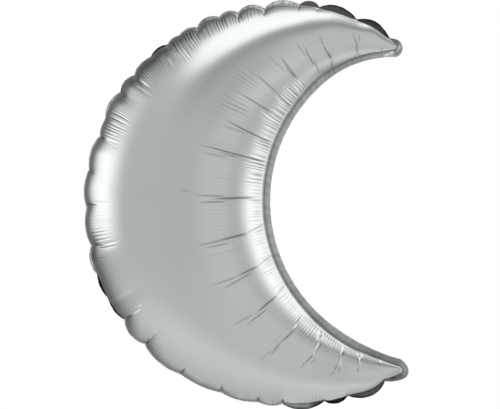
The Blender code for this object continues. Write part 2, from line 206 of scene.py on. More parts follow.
BAY_CREASES = (
    (124.5, 0.5, 123, 12, 1.5, 10, 35), (123, 11, 123.2, 23, 1.5, 15, 55),
    (123.2, 22, 122.9, 31, 1.2, 15, 50), (122.9, 30, 122.4, 48, 0.9, 10, 32),
    (122.9, 31, 121.5, 48, 0.8, 6, 20), (129.3, 33, 128.8, 61, 0.8, 8, 30),
    (129.1, 16, 128.1, 45, 1, 10, 45), (129.3, 5, 127.8, 24, 1, 10, 36),
    (127.8, 34, 128.1, 55, 0.8, 5, 20), (137, 38, 137, 74, 0.8, 6, 26),
    (136.2, 17, 134.8, 59, 1, 12, 50), (136.5, 22, 135.8, 47, 0.9, 10, 42),
    (138.7, 3, 137.3, 26, 1.1, 45, 0), (136.6, 3, 136.2, 19, 1.1, 45, 0),
    (143.7, 29, 142.9, 67, 0.8, 10, 46), (144.7, 4, 143.7, 31, 0.9, 10, 32),
    (145.4, 3, 144.7, 34, 1.1, 50, 0), (146.7, 3, 146.4, 16, 1, 40, 0),
    (149.9, 19, 149.5, 72, 0.9, 12, 50), (150.3, 3, 149.9, 24, 0.9, 10, 25),
    (151.3, 17, 150.9, 40, 1, 45, 0), (159, 6, 157.4, 78, 1, 12, 52),
    (159, 42, 159.1, 77, 0.8, 6, 30), (160.2, 4, 159.8, 26, 0.8, 8, 22),
    (165.9, 8, 165.4, 90, 1, 12, 52), (167.1, 57, 167.1, 90, 0.8, 6, 34),
    (166.4, 42, 166, 72, 0.9, 8, 36), (167, 3, 166.4, 24, 0.8, 6, 26),
    (177.9, 53, 177.8, 97, 0.9, 6, 36), (178.1, 14, 178.7, 74, 1.4, 10, 55),
    (179.4, 53, 179.6, 93, 0.9, 6, 42), (179.2, 2, 178.9, 26, 0.8, 5, 30),
    (176.7, 103, 176.8, 112, 1.1, 5, 24), (187.3, 2, 189.3, 29, 1, 8, 40),
    (189.3, 27, 189.9, 73, 1.4, 12, 52), (189.9, 66, 190, 98, 0.9, 8, 36),
    (190.6, 60, 190.5, 92, 0.8, 20, 0), (191, 54, 191, 90, 0.8, 6, 36),
    (189, 4, 189.7, 20, 0.8, 5, 26), (198.4, 2, 200.1, 26, 0.9, 10, 40),
    (200.1, 25, 200.5, 59, 1.1, 12, 52), (200.1, 50, 200.2, 77, 0.9, 45, 0),
    (200.6, 58, 200.3, 94, 0.8, 6, 32), (201.2, 36, 202.2, 82, 0.9, 6, 42),
    (199.7, 3, 200.6, 19, 0.8, 5, 26), (209.6, 3, 211.1, 21, 0.9, 10, 40),
    (211.1, 20, 212.2, 58, 1.1, 14, 55), (211.8, 51, 211.5, 68, 0.9, 50, 0),
    (211.9, 62, 211.4, 92, 0.8, 6, 32), (212.9, 41, 213.3, 77, 0.8, 6, 42),
    (221.1, 10, 222.2, 26, 1, 20, 30), (222.3, 20, 222.7, 30, 1, 70, -35),
    (223, 30, 223, 42, 1.2, 40, 42), (223, 39, 223, 58, 1, 20, 50),
    (223.3, 49, 223.6, 58, 1, 70, -35), (223, 55, 223, 73, 1, 10, 40),
    (223.5, 64, 223.2, 80, 0.8, 8, 28), (222.6, 72, 222.4, 94, 0.8, 5, 22),
    (229.3, 3, 230.9, 20, 1.4, 60, -20), (231.2, 4, 232.2, 18, 1.2, 50, -20),
    (231, 9, 231, 15, 0.9, 10, 45), (231.7, 18, 232.4, 41, 1, 75, -42),
    (232.3, 19, 232.9, 38, 0.8, 8, 34), (232.4, 38, 231.9, 55, 1, 10, 42),
    (231.9, 52, 231.6, 66, 0.8, 6, 28), (233.8, 42, 233, 50, 0.9, 6, 30),
    (239.2, 4, 240, 19, 0.9, 45, -24), (240, 17, 241.1, 32, 0.9, 70, -45),
    (240.3, 10, 240.3, 19, 0.8, 10, 45), (239.6, 17, 240.6, 30, 0.8, 8, 38),
    (240.4, 32, 240.2, 41, 1, 8, 40), (241.4, 33, 241.8, 40, 0.9, 6, 36),
    (240.4, 41, 240, 52, 0.8, 5, 22), (243.8, 0, 245, 7, 1.2, 60, -32),
    (245.8, 0, 246.3, 7, 1, 60, -32), (245.5, 6, 247.2, 19, 1.1, 70, -35),
    (245.3, 10, 246.2, 17, 0.8, 10, 40), (246.7, 22, 246.8, 29, 1, 6, 34),
    (252, -1, 253.1, 4, 1, 60, -32), (252.5, 4, 253, 7, 1, 5, 30),
    (112.4, 30, 112.7, 20, 0.8, 5, 26), (112.7, 21, 113, 11, 0.9, 6, 38),
    (113, 12, 113.9, 4, 1, 8, 46), (113.9, 5, 113.4, 0, 0.9, 5, 36),
    (110.9, 25, 112, 14, 0.9, 5, 28), (112, 15, 113, 11, 0.8, 5, 34),
    (113.8, 5, 115.6, 0, 0.8, 5, 30), (104.6, 3, 105.2, -1, 0.9, 5, 34),
)

# Crumples of the border, most of them at the two tabs, each with a painted highlight or painted shade along
# it, and one painted light patch on a lobe near the bottom that stands out not at all: ends of the mark as x
# and z, width (all mm), how much lighter it is painted and how far it stands out to the front (mm).
BORDER_CRUMPLES_AND_PAINTED_LIGHT = (
    (259.8, 212.2, 267.7, 214.9, 1.4, 1.1, 1.4), (267, 215.1, 272, 217, 1.2, 1.1, 1.3),
    (276.8, 219.1, 280.9, 224.7, 1.2, 1.1, 1.3), (252.7, 215.4, 258.5, 217.6, 1, 0.4, 0.3),
    (241, 210.6, 249, 212.4, 1, 0.3, 0.2), (273.9, 223.7, 274.8, 214.8, 0.9, -0.6, -0.7),
    (276, 236.3, 275.1, 229.1, 0.8, -0.4, -0.3), (282.3, 231.9, 283.7, 224.7, 0.9, 0.4, 0.3),
    (257.9, -248.2, 267.6, -250.3, 1.3, -0.6, -0.2), (275.8, -232, 282.8, -238.5, 0.9, 0.4, 0.3),
    (278.5, -241.3, 281.3, -246.4, 1, 0.5, 0.4), (112, -287, 142, -288.5, 6, 4.5, 0),
)

# Ripples of the gathered film: first and last angle (degrees), period (mm), height (hundredths of a mm),
# where they start and end in from the seam (mm) and their slant from the radial line (degrees).
SEAM_RIPPLES = (
    (80, 95, 3.4, 22, -2, 16, 0), (96, 103, 4.6, 34, 6, 22, 0),
    (103.5, 115.5, 5.2, 42, 6, 30, 2), (116, 126, 5.8, 105, 2, 40, 3),
    (126.5, 138.5, 3.8, 33, 3, 44, 7), (139, 149, 4.2, 3, 12, 42, 6),
    (149.5, 158.8, 5.6, 50, 9, 44, 2), (181, 191, 4.6, 14, 8, 40, -2),
    (192, 204, 3.8, 5, 6, 28, 0), (214.8, 224, 5, 5, 12, 34, 0),
    (225, 236, 5, 7, 6, 26, 0), (239, 262, 3.2, 45, -4, 18, 0),
    (262, 280, 3.8, 34, -4, 18, -4),
)
BAY_RIPPLES = (
    (112, 136, 4.6, 8, 1, 16, 0), (136, 174, 5, 44, 1, 38, 0),
    (174, 217, 4.8, 25, 1, 30, 0), (217, 236, 3.6, 24, 1, 32, 0),
    (236, 252, 3.6, 9, 1, 16, 0), (138, 232, 4, 12, 54, 112, 0),
)

# Patches of painted shade along the convex seam: first and last angle (degrees), how far in they reach (mm)
# and how much darker they are painted at the seam (percent), negative for a painted light patch.
SEAM_PAINTED_SHADE = (
    (104, 114.5, 34, 8), (116.5, 125.5, 38, 18),
    (126.5, 138.3, 34, 28), (139.5, 145.5, 18, 16),
    (191.6, 195.8, 46, 35), (191.8, 208, 60, 13),
    (208.5, 214, 64, 27), (214.5, 226, 60, 8),
    (215.5, 223, 12, -16), (224, 238, 40, 13),
    (238, 268, 36, 13), (238, 266, 5, -8),
    (287, 311, 10, 26),
)

# Bands of painted shade and painted highlight along the bay: first and last angle about the bay's centre
# (degrees), how far in from its seam the band lies at each (mm), half its width (mm) and how dark it is
# painted (percent), negative for a painted highlight.
BAY_PAINTED_BANDS = (
    (116, 152, 28, 60, 20, -11),
    (222, 254, 27, 11, 5, 10),
    (222, 237, 2, 2, 5, 22),
)

# Wide swells of the convex seam, under several puckers: first and last angle (degrees) and height (mm).
SEAM_SWELLS = ((191.1, 214.5, 1.4),)

NOISE_KNOTS = 997
NOISE_START = 400


def wander(along, period, seed):
    """Smooth noise from -1 to 1 along a line, with bumps about one period long."""
    knots = np.random.RandomState(seed).uniform(-1, 1, NOISE_KNOTS)
    place = np.asarray(along, float) / period + NOISE_START
    low = np.floor(place).astype(int)
    part = place - low
    part = part * part * (3 - 2 * part)
    return knots[low % NOISE_KNOTS] * (1 - part) + knots[(low + 1) % NOISE_KNOTS] * part


def ramp(low, high, value):
    """0 before the first edge and 1 past the second, with a smooth run between them."""
    part = np.clip((value - low) / (high - low), 0, 1)
    return part * part * (3 - 2 * part)


def stretch(first, last, before, after, value):
    """1 between two places, with soft ends that begin a little outside them."""
    return ramp(first - before, first + after, value) * ramp(last + before, last - after, value)


def polar(angle):
    """Unit vectors of the level outline at angles about a centre."""
    return np.stack([np.cos(angle), np.sin(angle)], -1)


def angle_of(points):
    """Angles of points about the origin, from 0 to a full turn."""
    return np.arctan2(points[..., 1], points[..., 0]) % (2 * np.pi)


def inner_centre():
    """Centre of the circle of the bay."""
    return OUTER_CENTRE + CENTRE_OFFSET * polar(np.float64(BAY_TILT))


def hang(plan):
    """Points of the level outline, moved to where the drooping horns carry them."""
    run = np.maximum(plan[..., 0] - OUTER_CENTRE[0] - DROOP_START, 0)
    droop = np.where(plan[..., 1] > OUTER_CENTRE[1], TOP_DROOP, BOTTOM_DROOP)
    sunk = plan.copy()
    sunk[..., 1] -= droop * (run / DROOP_RUN) ** DROOP_POWER
    return sunk


def medial_reach(angle):
    """Distance from the outer centre to the points midway between the two circles."""
    total = OUTER_RADIUS + INNER_RADIUS
    return (total**2 - CENTRE_OFFSET**2) / (2 * (total - CENTRE_OFFSET * np.cos(angle - BAY_TILT)))


def tip_angle(tip_radius):
    """The angle from the bay's axis at which the half width is down to a tip's radius."""
    total = OUTER_RADIUS + INNER_RADIUS
    reach = OUTER_RADIUS - tip_radius
    return math.acos((total - (total**2 - CENTRE_OFFSET**2) / (2 * reach)) / CENTRE_OFFSET)


def bay_seam_shift(bay):
    """How far the film overlaps the taut border, by angle about the bay's centre."""
    degrees = np.degrees(bay)
    belly = BAY_SEAM_OUT * ramp(122, 145, degrees) * ramp(242, 218, degrees)
    top_horn = ramp(98, 106, degrees) * ramp(131, 122, degrees)
    low_horn = LOW_HORN_OVERLAP * ramp(243, 248, degrees) * ramp(263, 253, degrees)
    return belly + HORN_SEAM_OUT * (top_horn + low_horn)


def lobes(angle):
    """For angles in radians: rows of the pucker before, rows of the pucker after, and how far through."""
    rows = np.array(PUCKERS + ((LAST_PUCKER,) + PUCKERS[-1][1:],))
    degrees = np.degrees(angle)
    index = np.clip(np.searchsorted(rows[:, 0], degrees, side="right") - 1, 0, len(rows) - 2)
    this, following = rows[index], rows[index + 1]
    through = np.clip((degrees - this[..., 0]) / (following[..., 0] - this[..., 0]), 0, 1)
    return this, following, through


def seam_shift(angle, depth_in=0.0):
    """How far the film at a depth in from the convex seam moves outward, or inward at a pucker."""
    this, following, through = lobes(angle)
    near = np.maximum(0, 1 - 2 * through) ** 2 * this[..., PIT]
    near = near + np.maximum(0, 2 * through - 1) ** 2 * following[..., PIT]
    power = BULGE_POWER + BULGE_NARROWING * ramp(0, BULGE_SMOOTH, depth_in)
    power = power + UNPUCKERED_NARROWING * (this[..., DEPTH] == 0)
    bulge = this[..., BULGE] * np.sin(np.pi * through) ** power
    for first, last, height in SEAM_SWELLS:
        run = np.clip((np.degrees(angle) - first) / (last - first), 0, 1)
        bulge = bulge + height * np.sin(np.pi * run) ** SWELL_POWER
    bulge = bulge * np.maximum(0, 1 - depth_in / BULGE_REACH) ** 2
    return (bulge - near * np.maximum(0, 1 - depth_in / PIT_REACH) ** 2) * MM


def border_edge(angle):
    """The border's edge: how far it shows past the seam, and its lean to the front."""
    this, following, through = lobes(angle)
    swell = np.sin(np.pi * through) ** BRIM_POWER
    pit = np.where(through < 0.5, this[..., PIT], following[..., PIT])
    deep = ramp(0, FULL_PIT, pit)
    gathered = PUCKER_BRIM * (SHALLOW_BRIM_SHARE + (1 - SHALLOW_BRIM_SHARE) * deep)
    brim = gathered + (this[..., BRIM] * MM - gathered) * swell
    return brim, this[..., LEAN] * swell * LEAN_SHARE * np.sqrt(BORDER_WIDTH**2 - brim**2)


class Lines:
    """Lines across the crescent, from the convex seam to the taut one, on the level outline."""

    def __init__(self, angle, cap):
        reach = medial_reach(angle)
        disc = OUTER_CENTRE + reach[:, None] * polar(angle)
        self.angle, self.cap, self.disc = angle, cap, disc
        self.bay = angle_of(disc - inner_centre())
        out, into = polar(angle), -polar(self.bay)
        radius = OUTER_RADIUS - reach
        capped = ramp(0, 0.6, cap)[:, None]
        straight = into - out
        straight /= norm(straight, axis=1, keepdims=True)
        self.out = out * (1 - capped) - straight * capped
        self.into = into * (1 - capped) + straight * capped
        self.half = radius * np.cos(cap)
        top = np.where(disc[:, 1] > OUTER_CENTRE[1], 1.0, -1.0)
        aside = np.stack([-straight[:, 1], straight[:, 0]], -1) * top[:, None]
        self.middle = disc + (radius * np.sin(cap))[:, None] * aside

    def plan(self, share):
        """Points on the level outline, one row a line and one column a share of it."""
        reach = self.half[:, None, None]
        rest = (1 - share)[None, :, None]
        return self.middle[:, None] + reach * (
            rest**2 * self.out[:, None] + share[None, :, None] ** 2 * self.into[:, None]
        )


def lines_across(stations):
    """Lines across the whole crescent, with a fan of short ones round each horn's tip."""
    start = BAY_TILT + tip_angle(TOP_TIP_RADIUS)
    end = 2 * math.pi + BAY_TILT - tip_angle(BOTTOM_TIP_RADIUS)
    angle = np.linspace(start, end, stations)
    cap = np.linspace(0, math.pi / 2, CAP_STATIONS + 1)[1:]
    angle = np.concatenate([np.full(CAP_STATIONS, start), angle, np.full(CAP_STATIONS, end)])
    return Lines(angle, np.concatenate([cap[::-1], np.zeros(stations), cap]))


# Folds: where a pucker's two arms begin and their depth beside its main crease, how much wider than in its
# table a crease is, how it narrows inward, how dark the shade painted in it, on the film and in a ripple's
# valley gets, and the seeds of the ripples' phase, reach and size
ARM_GAP = 0.0004
ARM_DEPTH = 0.7
CREASE_WIDER = 1.2
CREASE_NARROWING = 0.3
CREASE_DARKER = 1.35
CREASE_DARKEST = 0.78
DARKEST = 0.8
RIPPLE_DARK = 0.75
PHASE_SEED, REACH_SEED, SIZE_SEED = 11, 31, 51


def fold(aside, width):
    """Cross-section of a fold, 1 deep at its line, with a rounded bottom."""
    return (1 + (aside / width) ** 2) ** -1.5


def pucker_relief(angle, depth_in):
    """Folds of the gathered convex seam, by angle and distance in from the seam, and the shade painted in
    them.
    """
    relief = np.zeros_like(depth_in)
    dark = np.zeros_like(relief)
    for number, row in enumerate(PUCKERS):
        at, _, length, _, _, _, depth, slant, fork, _ = row
        inward = depth_in / (length * MM)
        aside = (angle - radians(at)) * (OUTER_RADIUS - depth_in)
        aside = aside - depth_in * math.tan(radians(slant))
        main = ramp(0.9, 0.1, inward)
        spread = fork * MM * ramp(0.1, 1.0, inward)
        arms = ramp(0.15, 0.4, inward) * ramp(1.08, 0.72, inward) * (fork > 0)
        other = arms * (0.5 + 0.3 * math.sin(number * 2.1))
        for offset, width, size in (
            (0, 1.3, main),
            (spread + ARM_GAP, 1.1, ARM_DEPTH * arms),
            (-spread - ARM_GAP, 1.0, ARM_DEPTH * other),
        ):
            relief -= depth * MM * (fold(aside - offset, width * MM) * size)
            dark = np.maximum(dark, min(1, depth) * 0.5 * fold(aside - offset, 0.7 * MM) * size)
    return relief, dark


def crease_relief(table, angle, radius, turn, depth_in):
    """Single creases by angle about a seam's centre and distance in from the seam: relief, painted shade,
    painted highlight.
    """
    relief = np.zeros_like(depth_in)
    dark, light = np.zeros_like(relief), np.zeros_like(relief)
    depth_mm = depth_in / MM
    for near_angle, near, far_angle, far, width, depth, darkness in table:
        depth, darkness = depth / 100, darkness / 100
        along = (depth_mm - near) / (far - near)
        at = near_angle + (far_angle - near_angle) * np.clip(along, -0.2, 1.2)
        aside = (angle - np.radians(at)) * (radius + turn * depth_in)
        ends = ramp(-0.08, 0.16, along) * ramp(1.06, 0.62, along)
        narrower = 1 - CREASE_NARROWING * np.clip(along, 0, 1)
        line = fold(aside, CREASE_WIDER * width * MM * narrower) * ends
        relief -= depth * MM * line
        dark = np.maximum(dark, np.clip(CREASE_DARKER * darkness, 0, CREASE_DARKEST) * line)
        light = np.maximum(light, max(0, -darkness) * line)
    return relief, dark, light


def ripple_relief(table, angle, radius, depth_in):
    """Fine gathered ripples along a seam, and the shade painted in their valleys."""
    relief = np.zeros_like(depth_in)
    dark = np.zeros_like(relief)
    depth_mm = depth_in / MM
    for number, row in enumerate(table):
        first, last, period, height, near, far, slant = row
        height = height / 100
        along = angle * radius - depth_in * math.tan(radians(slant))
        zone = stretch(first, last, 0.6, 0.9, np.degrees(along / radius))
        if not zone.any():
            continue
        phase = along / (period * MM) + 0.55 * wander(along, 9 * MM, PHASE_SEED + number)
        reach = far * (0.85 + 0.25 * wander(along, 6 * MM, REACH_SEED + number))
        window = ramp(near * 0.5, near + 6, depth_mm) * ramp(reach, 0.55 * reach, depth_mm)
        size = 0.7 + 0.55 * wander(along, 7 * MM, SIZE_SEED + number)
        wave = (np.cos(2 * np.pi * phase) - 0.3 * np.cos(4 * np.pi * phase)) / 1.3
        wave = wave * zone * window * size
        relief += height * MM * wave
        dark += RIPPLE_DARK * height * np.maximum(0, -wave)
    return relief, dark


def painted_seam_shade(angle, depth_in):
    """How much darker the patches of painted shade along the convex seam make the film."""
    degrees = np.degrees(angle)
    dark = np.zeros_like(depth_in)
    for first, last, reach, darkness in SEAM_PAINTED_SHADE:
        zone = stretch(first, last, 0.7, 1.2, degrees)
        dark += darkness / 100 * zone * ramp(reach * MM, 0.2 * reach * MM, depth_in)
    return dark


def painted_bay_bands(angle, depth_in):
    """How much darker the bands of painted shade along the bay make the film, lighter where painted
    highlight.
    """
    degrees = np.degrees(angle)
    dark = np.zeros_like(depth_in)
    for first, last, first_depth, last_depth, half, darkness in BAY_PAINTED_BANDS:
        zone = ramp(first - 2, first + 4, degrees) * ramp(last + 2, last - 2, degrees)
        middle = np.interp(degrees, (first, last), (first_depth, last_depth))
        away = np.abs(depth_in / MM - middle)
        dark += darkness / 100 * zone * ramp(1.6 * half, 0.4 * half, away)
    return dark


def grid_normals(points):
    """Unit normals of a grid of points."""
    across = np.gradient(points, axis=1)
    along = np.gradient(points, axis=0)
    normals = np.cross(along, across)
    length = norm(normals, axis=-1, keepdims=True)
    return normals / np.maximum(length, 1e-12)


def level_places(level):
    """Angle about the outer centre and distance in from that seam, then the same for the bay."""
    from_outer, from_bay = level - OUTER_CENTRE, level - inner_centre()
    seam_depth = OUTER_RADIUS - norm(from_outer, axis=-1)
    return angle_of(from_outer), seam_depth, angle_of(from_bay), norm(from_bay, axis=-1) - INNER_RADIUS


def film_folds(level):
    """How far the film's folds stand out at points of the level outline, and the painted shade and highlights
    there.
    """
    angle, seam_depth, bay, bay_depth = level_places(level)
    relief, dark = pucker_relief(angle, seam_depth)
    light = np.zeros_like(relief)
    for table, turned, radius, turn, depth in (
        (SEAM_CREASES, angle, OUTER_RADIUS, -1, seam_depth),
        (BAY_CREASES, bay, INNER_RADIUS, 1, bay_depth),
    ):
        folds, folds_dark, folds_light = crease_relief(table, turned, radius, turn, depth)
        relief += folds
        dark = np.maximum(dark, folds_dark)
        light = np.maximum(light, folds_light)
    seam_ripples, seam_dark = ripple_relief(SEAM_RIPPLES, angle, OUTER_RADIUS, seam_depth)
    bay_ripples, bay_dark = ripple_relief(BAY_RIPPLES, bay, INNER_RADIUS, bay_depth)
    relief += seam_ripples + bay_ripples
    dark = dark + seam_dark + bay_dark + painted_seam_shade(angle, seam_depth) + painted_bay_bands(bay, bay_depth)
    dark = np.minimum(DARKEST, dark)
    return relief, light * (1 - dark) - dark


def film_points(side):
    """Grid of points of one film panel, its folds included, and how light it is painted. Side -1 is the
    front.
    """
    lines = lines_across(STATIONS)
    across = -np.cos(np.pi * np.arange(FILM_COLUMNS + 1) / FILM_COLUMNS)
    share = (1 + across) / 2 + CREST_SHIFT * (1 - across**2)
    width = 2 * lines.half[:, None]
    depth_in = share * width
    level = lines.plan(share)
    uncapped = np.cos(lines.cap)[:, None]
    narrow = BULGE_REACH / np.minimum(BULGE_REACH, 0.8 * width)
    pull = seam_shift(lines.angle[:, None], depth_in * narrow) * uncapped
    overlap = bay_seam_shift(lines.bay)[:, None] * uncapped * ramp(0.8, 1, share)[None]
    plan = hang(level + pull[..., None] * lines.out[:, None] + overlap[..., None] * lines.into[:, None])
    crown = (HALF_DEPTH_RATIO - HORN_FLATTER * ramp(*HORN_FLATTENS, lines.half)) * lines.half
    height = crown[:, None] * np.sqrt(np.maximum(0, 1 - np.abs(across[None]) ** 3))
    points = np.stack([plan[..., 0], side * (RIM_GAP + height), plan[..., 1]], -1)
    normals = grid_normals(points)
    normals *= np.sign(side * normals[..., 1:2] + 1e-9)
    relief, lighter = film_folds(level)
    edge = np.minimum(depth_in, (1 - share) * width)
    body = (lines.cap == 0)[:, None]
    relief *= ramp(0, FOLDS_FROM_SEAM, edge) * (ramp(*HORN_SMOOTH, lines.half)[:, None] * body)
    return points + normals * relief[..., None], 1 + lighter * body


def add_object(name, data):
    """Puts a mesh or a camera in the scene as an object of its own."""
    obj = bpy.data.objects.new(name, data)
    bpy.context.scene.collection.objects.link(obj)
    return obj


def mesh_of_grid(name, points, closed=False):
    """A mesh object over a grid of points, its rows and columns closed on themselves where asked."""
    rows, columns = points.shape[:2]
    reach = (rows, columns) if closed else (rows - 1, columns - 1)
    row, column = (places.ravel() for places in np.indices(reach))
    next_row, next_column = (row + 1) % rows, (column + 1) % columns
    corners = ((row, column), (next_row, column), (next_row, next_column), (row, next_column))
    faces = np.stack([at_row * columns + at_column for at_row, at_column in corners], -1)
    mesh = bpy.data.meshes.new(name)
    mesh.from_pydata(points.reshape(-1, 3).tolist(), [], faces.tolist())
    mesh.update()
    return add_object(name, mesh)


def finish_mesh(obj, shade, material, outward=None):
    """Keeps how light each point is painted, sews points that meet, turns the faces outward and smooths them.
    """
    layer = obj.data.attributes.new("shade", "FLOAT", "POINT")
    layer.data.foreach_set("value", shade.astype(np.float32).ravel())
    mesh = bmesh.new()
    mesh.from_mesh(obj.data)
    bmesh.ops.remove_doubles(mesh, verts=mesh.verts, dist=SEWN_WITHIN)
    bmesh.ops.recalc_face_normals(mesh, faces=mesh.faces)
    if outward is not None:
        total = sum((face.normal * face.calc_area() for face in mesh.faces), Vector())
        if total.dot(Vector(outward)) < 0:
            bmesh.ops.reverse_faces(mesh, faces=mesh.faces)
    mesh.to_mesh(obj.data)
    mesh.free()
    obj.data.shade_smooth()
    obj.data.materials.append(material)


def make_panel(name, side, node, material):
    """One film panel of the balloon."""
    points, shade = film_points(side)
    panel = mesh_of_grid(name, points)
    finish_mesh(panel, shade, material, (0, side, 0))
    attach(panel, "envelope")
    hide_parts(node)


def round_rim(rim, bay):
    """Values along the convex seam, then those along the bay, back to the start at every second line."""
    return np.concatenate([rim, bay[::-1][2:-2:2]])


def painted_border_shade(lines, capped):
    """Painted shade and reflection of the border: how light it is painted along the convex seam, and along
    the bay.
    """
    this, _, _ = lobes(lines.angle)
    degrees = np.degrees(lines.bay)
    belly = ramp(124, 132, degrees) * ramp(232, 196, degrees)
    bay = BAY_PAINTED_SHADE * (1 + BELLY_PAINTED_LIGHT * belly - LOW_HORN_PAINTED_SHADE * ramp(243, 250, degrees))
    return [shade * (1 - capped) + TAB_PAINTED_SHADE * capped for shade in (this[..., PAINTED_BORDER_LIGHT], bay)]


def border_course():
    """The border's course round the rim: seam points, outward directions, brims, leans, painted shades,
    gathering.
    """
    lines = lines_across(BORDER_STATIONS)
    capped = ramp(0, 1.2, lines.cap)
    tab = BORDER_WIDTH * TAB_SHARE * capped
    brim, lean = border_edge(lines.angle)
    shift = seam_shift(lines.angle) * np.cos(lines.cap)
    overlap = bay_seam_shift(lines.bay) * np.cos(lines.cap)
    points = round_rim(
        lines.middle + lines.out * (lines.half + shift)[:, None],
        lines.middle + lines.into * (lines.half + overlap)[:, None],
    )
    outward = points - round_rim(lines.disc, lines.disc)
    outward /= np.maximum(norm(outward, axis=1, keepdims=True), 1e-9)
    body = round_rim(lines.cap == 0, lines.cap == 0)[:, None]
    return (
        points,
        np.where(body, round_rim(lines.out, lines.into), outward),
        round_rim(brim * (1 - capped) + tab, (BORDER_WIDTH - overlap) * (1 - capped) + tab),
        round_rim(lean * (1 - capped), 0 * overlap),
        round_rim(*painted_border_shade(lines, capped)),
        round_rim(1 - capped, 0 * overlap),
    )


def border_crumples_and_painted_light(plan):
    """How light each point of the border is painted by the crumples and the light patch, and how far forward
    the crumples bring it.
    """
    light, height = np.ones(plan.shape[:-1]), np.zeros(plan.shape[:-1])
    for x, z, far_x, far_z, width, change, rise in BORDER_CRUMPLES_AND_PAINTED_LIGHT:
        start, run = np.array((x, z)) * MM, np.array((far_x - x, far_z - z)) * MM
        along = np.clip((plan - start) @ run / (run @ run), 0, 1)
        away = fold(norm(plan - start - along[..., None] * run, axis=-1), width * MM)
        light += change * away
        height += rise * MM * away
    return light, height


def border_section(course, brim, lean, gathered):
    """How far out and how far forward the points across the border lie, at each place of its course."""
    share = np.linspace(0, 1, BORDER_COLUMNS)
    out = np.empty((len(course), BORDER_COLUMNS + 1))
    forward = np.zeros_like(out)
    out[:, 0] = -np.minimum(SEAL_ROOT, 0.5 * TOP_TIP_RADIUS)
    bend = np.minimum(BORDER_BEND, 0.5 * brim)[:, None]
    out[:, 1:] = bend + (brim[:, None] - bend) * np.sin(share[None] * math.pi / 2) ** 0.9
    forward[:, 1:] = lean[:, None] * share[None] ** 1.35
    crumple = 0.45 * wander(course, 5 * MM, 71) + 0.35 * wander(course, 2.4 * MM, 72)
    sway = 0.7 * wander(course, 16 * MM, 73)
    edge = ((0.8 * crumple + sway) * (0.35 + 0.65 * gathered))[:, None] * share[None] ** 1.5
    ripple = np.sin(course / RIM_RIPPLE * 2 * math.pi)[:, None] * np.sin(share * math.pi)[None]
    forward[:, 1:] += (edge + RIM_RIPPLE_MM * ripple) * MM
    out[:, 1:] += (0.25 * wander(course, 3.5 * MM, 74) * MM)[:, None] * share[None] ** 2
    return out, forward


def border_light(course, brim, shade, gathered):
    """How light the border is painted across: random streaks with painted crinkle highlights, and painted
    shade at root, edge and seam line.
    """
    share = np.concatenate([[0], np.linspace(0, 1, BORDER_COLUMNS)])
    bright = (gathered * ramp(0.5, 0.8, shade))[:, None]
    streaks = 1 + (0.14 + 0.26 * bright) * wander(course[:, None] + 4 * MM * share, 2.6 * MM, 75)
    shown = 0.5 + 0.5 * ramp(0.002, 0.004, brim)
    rim = (gathered * shown)[:, None] * ramp(0.72, 1.0, share)[None]
    seam_line = (1 - gathered)[:, None] * ramp(0.14, 0.0, share)[None]
    # Painted shade: darker towards the root, at the free edge of the gathered lobes and along the bay's seam
    # line
    across = 1 - ROOT_PAINTED_SHADE * (1 - share[None]) - RIM_PAINTED_SHADE * rim - SEAM_LINE_PAINTED_SHADE * seam_line
    return shade[:, None] * streaks * across


def border_points():
    """Closed ring of points of the border at each place of its course, and how light each is painted."""
    seam, outward, brim, lean, shade, gathered = border_course()
    course = np.cumsum(norm(np.diff(seam, axis=0, append=seam[:1]), axis=1))
    out, forward = border_section(course, brim, lean, gathered)
    plan = hang(seam[:, None] + outward[:, None] * out[..., None])
    painted_mark_light, rise = border_crumples_and_painted_light(plan)
    middle = np.stack([plan[..., 0], -forward - rise, plan[..., 1]], -1)
    normals = grid_normals(middle)
    normals *= np.sign(-normals[..., 1:2] + 1e-9)
    half = np.full((1, BORDER_COLUMNS + 1, 1), SEAL_THICKNESS / 2)
    half[:, -1] *= 0.5
    # The border's painted shade, times the painted highlights and shade of the crumples and the light patch
    light = np.clip(border_light(course, brim, shade, gathered) * painted_mark_light, 0.05, 1.25)
    ring = [middle + normals * half, (middle - normals * half)[:, ::-1]]
    return np.concatenate(ring, axis=1), np.concatenate([light, light[:, ::-1]], axis=1)


def make_border(material):
    """The sealed border, all round the rim."""
    points, shade = border_points()
    border = mesh_of_grid("seal_border_film", points, closed=True)
    finish_mesh(border, shade, material)
    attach(border, "envelope")
    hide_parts("seal_border")


def neck_frame():
    """Matrix of the neck folded up: X along it from the hinge, Y across its thickness, Z across its width."""
    brim, lean = border_edge(np.float64(NECK_ANGLE))
    reach = OUTER_RADIUS + seam_shift(np.float64(NECK_ANGLE)) + brim + NECK_HINGE_GAP
    back = Vector((0, 1, 0))
    out = Vector((math.cos(NECK_ANGLE), 0, math.sin(NECK_ANGLE)))
    hinge = Vector((OUTER_CENTRE[0], 0, OUTER_CENTRE[1])) + float(reach) * out - back * float(lean)
    along = math.cos(NECK_LEAN) * back - math.sin(NECK_LEAN) * out
    width = Vector((math.sin(NECK_ANGLE), 0, -math.cos(NECK_ANGLE)))
    turned = Matrix((along, width.cross(along), width)).transposed().to_4x4()
    return Matrix.Translation(hinge) @ turned


